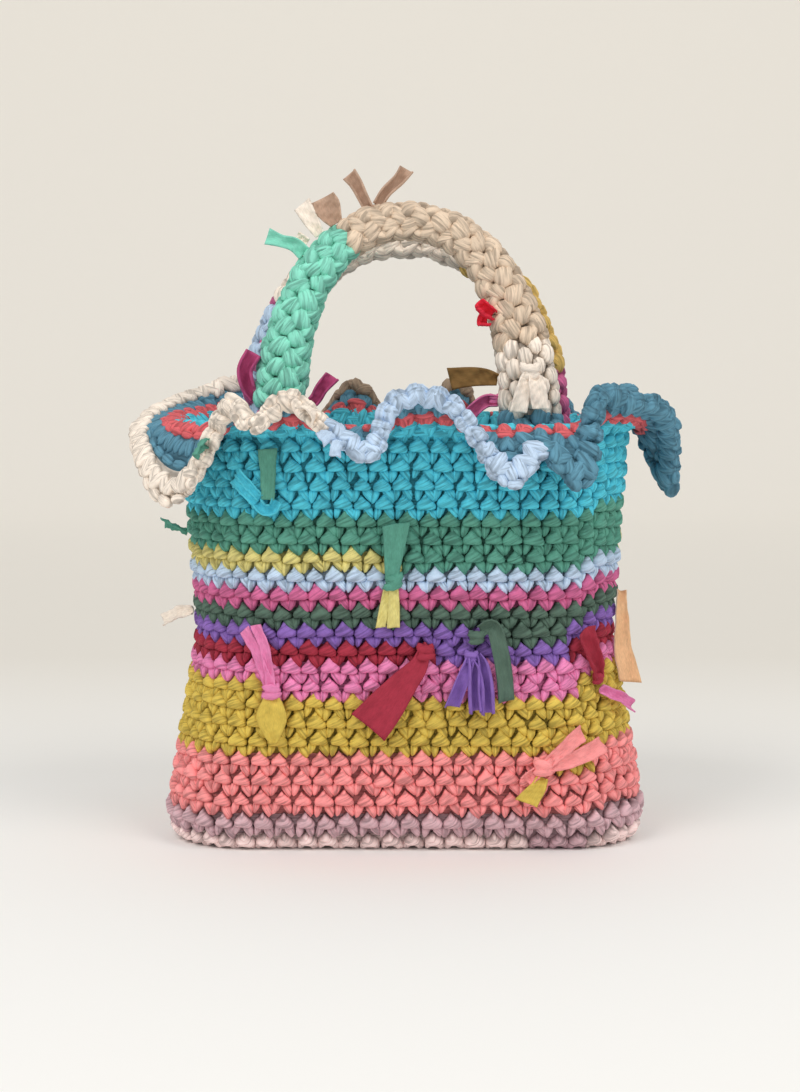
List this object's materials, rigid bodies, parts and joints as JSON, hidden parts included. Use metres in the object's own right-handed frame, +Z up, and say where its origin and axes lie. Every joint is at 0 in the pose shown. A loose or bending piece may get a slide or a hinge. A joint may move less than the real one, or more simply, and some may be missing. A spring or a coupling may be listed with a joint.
{
  "type": "crochet handbag",
  "caption": "Small handbag crocheted in a spiral from strips of T-shirt yarn, with bright stripes, a ruffled mouth, two arched handles and knotted yarn ends left loose",
  "frame": {"origin": "middle of the bag's outline on the surface it stands on", "axes": "+Z up, +X to the right along the bag's width, -Y towards the front"},
  "size_m": [0.3243, 0.2316, 0.4027],
  "materials": {
    "turquoise_yarn": "matt cotton jersey",
    "green_yarn": "matt cotton jersey",
    "lime_yarn": "matt cotton jersey",
    "pale_blue_yarn": "matt cotton jersey",
    "magenta_yarn": "matt cotton jersey",
    "dark_green_yarn": "matt cotton jersey",
    "purple_yarn": "matt cotton jersey",
    "burgundy_yarn": "matt cotton jersey",
    "pink_yarn": "matt cotton jersey",
    "mustard_yarn": "matt cotton jersey",
    "coral_yarn": "matt cotton jersey",
    "lilac_yarn": "matt cotton jersey",
    "pale_pink_yarn": "matt cotton jersey",
    "cream_yarn": "matt cotton jersey",
    "beige_yarn": "matt cotton jersey",
    "slate_yarn": "matt cotton jersey",
    "coral_red_yarn": "matt cotton jersey",
    "mint_yarn": "matt cotton jersey",
    "olive_yarn": "matt cotton jersey",
    "red_yarn": "matt cotton jersey",
    "ochre_yarn": "matt cotton jersey",
    "taupe_yarn": "matt cotton jersey"
  },
  "bodies": {
    "root": {"base_oval": "pale_pink_yarn", "round_pale_pink": "pale_pink_yarn", "rounds_lilac": "lilac_yarn", "rounds_coral_pink": "coral_yarn", "rounds_mustard": "mustard_yarn", "rounds_pink": "pink_yarn", "round_burgundy": "burgundy_yarn", "round_purple": "purple_yarn", "rounds_dark_green": "dark_green_yarn", "round_magenta": "magenta_yarn", "round_pale_blue": "pale_blue_yarn", "round_lime": "lime_yarn", "rounds_green": "green_yarn", "rounds_turquoise": "turquoise_yarn", "ruffle_turquoise": "turquoise_yarn", "ruffle_coral_red": "coral_red_yarn", "ruffle_slate": "slate_yarn", "ruffle_edge_cream": "cream_yarn", "ruffle_edge_pale_blue": "pale_blue_yarn", "ruffle_edge_slate": "slate_yarn", "ruffle_edge_taupe": "taupe_yarn", "front_handle_left_root": "pale_blue_yarn", "front_handle_mint": "mint_yarn", "front_handle_beige": "beige_yarn", "front_handle_cream": "cream_yarn", "front_handle_right_root": "slate_yarn", "back_handle_sky": "pale_blue_yarn", "back_handle_cream": "cream_yarn", "back_handle_ochre": "ochre_yarn", "back_handle_magenta": "magenta_yarn", "end_green_front": "green_yarn", "end_lime_front": "lime_yarn", "end_pink_left": "pink_yarn", "end_mustard_leaf": "mustard_yarn", "end_burgundy_wide": "burgundy_yarn", "end_purple_pair": "purple_yarn", "end_dark_green": "dark_green_yarn", "end_burgundy_right": "burgundy_yarn", "end_pink_right": "pink_yarn", "end_cream_right": "cream_yarn", "end_coral_bow": "coral_yarn", "end_mustard_right": "mustard_yarn", "end_cream_left": "cream_yarn", "end_green_rim": "green_yarn", "end_turquoise_rim": "turquoise_yarn", "end_taupe_left": "taupe_yarn", "end_taupe_right": "taupe_yarn", "end_brown_cup": "taupe_yarn", "end_cream_top": "cream_yarn", "end_mint": "mint_yarn", "end_cream_knot": "cream_yarn", "end_olive": "olive_yarn", "end_magenta_right": "magenta_yarn", "end_red_loop": "red_yarn", "end_magenta_back": "magenta_yarn", "end_magenta_left": "magenta_yarn", "end_magenta_middle": "magenta_yarn", "end_cream_ruffle": "cream_yarn", "end_pale_blue_ruffle": "pale_blue_yarn"}
  },
  "joints": []
}
